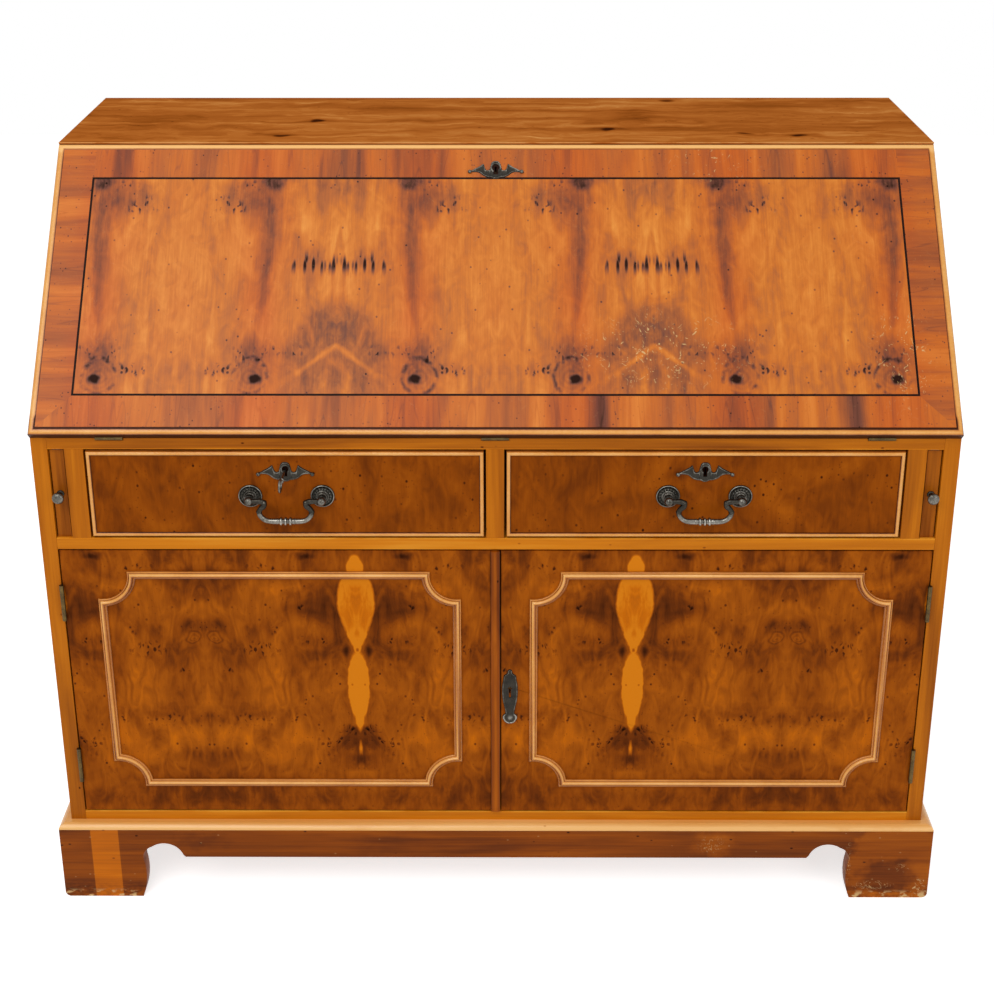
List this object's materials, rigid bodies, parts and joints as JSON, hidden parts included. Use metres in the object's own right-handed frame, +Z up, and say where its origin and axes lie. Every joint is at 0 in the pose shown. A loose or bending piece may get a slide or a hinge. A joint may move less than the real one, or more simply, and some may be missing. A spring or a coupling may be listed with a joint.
{
  "type": "slant-front bureau",
  "caption": "Slant-front bureau in figured veneer: a fall front on lopers over drawers with bail handles, panelled cupboard doors and a bracket-foot plinth.",
  "frame": {"origin": "on the floor under the middle of the part's bounding box", "axes": "+X to the right of someone facing the front, +Y to the back, +Z up"},
  "size_m": [1.251, 0.634, 1.049],
  "materials": {
    "figured_veneer": "polished figured veneer",
    "straight_veneer": "polished veneer",
    "polished_edge": "polished solid wood",
    "plain_wood": "unpolished secondary wood",
    "black_line": "ebonised inlay",
    "tooled_leather": "hide with a tooled border",
    "antique_brass": "aged and darkened"
  },
  "bodies": {
    "carcass": {"side_panels": "straight_veneer", "top_board": "straight_veneer", "back_panel": "plain_wood", "bottom_board": "polished_edge", "writing_board": "polished_edge", "dust_board": "polished_edge", "centre_divider": "straight_veneer", "loper_dividers": "straight_veneer", "cupboard_shelf": "plain_wood", "shelf_pegs": "plain_wood", "plinth_front": "straight_veneer", "plinth_sides": "straight_veneer", "plinth_moulding": "polished_edge", "foot_blocks": "plain_wood", "carcass_fittings": "antique_brass", "hinge_pins": "antique_brass", "pigeonholes": "polished_edge", "travel_stops": "plain_wood"},
    "fall_front": {"fall_board": "figured_veneer", "fall_lipping": "polished_edge", "fall_stringing": "black_line", "fall_leather": "tooled_leather", "fall_hinge_leaves": "antique_brass", "fall_lock": "antique_brass", "fall_escutcheon": "antique_brass"},
    "fall_bolt": {"fall_lock_bolt": "antique_brass"},
    "door_left": {"door_left": "figured_veneer", "door_left_moulding": "polished_edge", "astragal": "polished_edge", "door_left_hinge_leaves": "antique_brass"},
    "door_left_bolt": {"door_left_bolt": "antique_brass"},
    "door_right": {"door_right": "figured_veneer", "door_right_moulding": "polished_edge", "door_right_hinge_leaves": "antique_brass", "door_lock": "antique_brass", "door_escutcheon": "antique_brass"},
    "door_bolt": {"door_lock_bolt": "antique_brass"},
    "key": {"key": "antique_brass"},
    "drawer_left": {"drawer_left_front": "figured_veneer", "drawer_left_bead": "polished_edge", "drawer_left_box": "plain_wood", "drawer_left_lock": "antique_brass", "drawer_left_escutcheon": "antique_brass", "drawer_left_rosettes": "antique_brass"},
    "drawer_left_handle": {"drawer_left_bail": "antique_brass"},
    "drawer_left_bolt": {"drawer_left_lock_bolt": "antique_brass"},
    "loper_left": {"loper_left": "polished_edge", "loper_left_knob": "antique_brass"},
    "inner_drawer_left": {"inner_drawer_left": "polished_edge"},
    "drawer_right": {"drawer_right_front": "figured_veneer", "drawer_right_bead": "polished_edge", "drawer_right_box": "plain_wood", "drawer_right_lock": "antique_brass", "drawer_right_escutcheon": "antique_brass", "drawer_right_rosettes": "antique_brass"},
    "drawer_right_handle": {"drawer_right_bail": "antique_brass"},
    "drawer_right_bolt": {"drawer_right_lock_bolt": "antique_brass"},
    "loper_right": {"loper_right": "polished_edge", "loper_right_knob": "antique_brass"},
    "inner_drawer_right": {"inner_drawer_right": "polished_edge"}
  },
  "joints": [
    {"name": "fall_hinge", "type": "hinge", "parent": "carcass", "child": "fall_front", "pos_m": [0, -0.2535, 0.72], "axis": [1, 0, 0], "range_deg": [0, 131.98]},
    {"name": "fall_bolt_slide", "type": "slide", "parent": "fall_front", "child": "fall_bolt", "axis": [0, 0.6689, 0.7434], "range_m": [0, 0.008]},
    {"name": "drawer_left_slide", "type": "slide", "parent": "carcass", "child": "drawer_left", "axis": [0, -1, 0], "range_m": [0, 0.3]},
    {"name": "drawer_left_bail_swing", "type": "hinge", "parent": "drawer_left", "child": "drawer_left_handle", "pos_m": [-0.277, -0.271, 0.637], "axis": [-1, 0, 0], "range_deg": [0, 90]},
    {"name": "drawer_left_bolt_slide", "type": "slide", "parent": "drawer_left", "child": "drawer_left_bolt", "axis": [0, 0, 1], "range_m": [0, 0.007]},
    {"name": "loper_left_slide", "type": "slide", "parent": "carcass", "child": "loper_left", "axis": [0, -1, 0], "range_m": [0, 0.36]},
    {"name": "inner_drawer_left_slide", "type": "slide", "parent": "carcass", "child": "inner_drawer_left", "axis": [0, -1, 0], "range_m": [0, 0.15]},
    {"name": "drawer_right_slide", "type": "slide", "parent": "carcass", "child": "drawer_right", "axis": [0, -1, 0], "range_m": [0, 0.3]},
    {"name": "drawer_right_bail_swing", "type": "hinge", "parent": "drawer_right", "child": "drawer_right_handle", "pos_m": [0.277, -0.271, 0.637], "axis": [-1, 0, 0], "range_deg": [0, 90]},
    {"name": "drawer_right_bolt_slide", "type": "slide", "parent": "drawer_right", "child": "drawer_right_bolt", "axis": [0, 0, 1], "range_m": [0, 0.007]},
    {"name": "loper_right_slide", "type": "slide", "parent": "carcass", "child": "loper_right", "axis": [0, -1, 0], "range_m": [0, 0.36]},
    {"name": "inner_drawer_right_slide", "type": "slide", "parent": "carcass", "child": "inner_drawer_right", "axis": [0, -1, 0], "range_m": [0, 0.15]},
    {"name": "key_turn", "type": "hinge", "parent": "drawer_left", "child": "key", "pos_m": [-0.277, -0.253, 0.676], "axis": [0, 1, 0], "range_deg": [0, 180]},
    {"name": "door_left_hinge", "type": "hinge", "parent": "carcass", "child": "door_left", "pos_m": [-0.588, -0.2566, 0], "axis": [0, 0, -1], "range_deg": [0, 165]},
    {"name": "door_right_hinge", "type": "hinge", "parent": "carcass", "child": "door_right", "pos_m": [0.588, -0.2566, 0], "axis": [0, 0, 1], "range_deg": [0, 165]},
    {"name": "door_left_bolt_slide", "type": "slide", "parent": "door_left", "child": "door_left_bolt", "axis": [0, 0, 1], "range_m": [0, 0.01]},
    {"name": "door_bolt_slide", "type": "slide", "parent": "door_right", "child": "door_bolt", "axis": [-1, 0, 0], "range_m": [0, 0.009]}
  ],
  "couplings": [
    {"joint": "drawer_left_bolt_slide", "follows": "key_turn", "m_per_rad": 0.0022282}
  ]
}
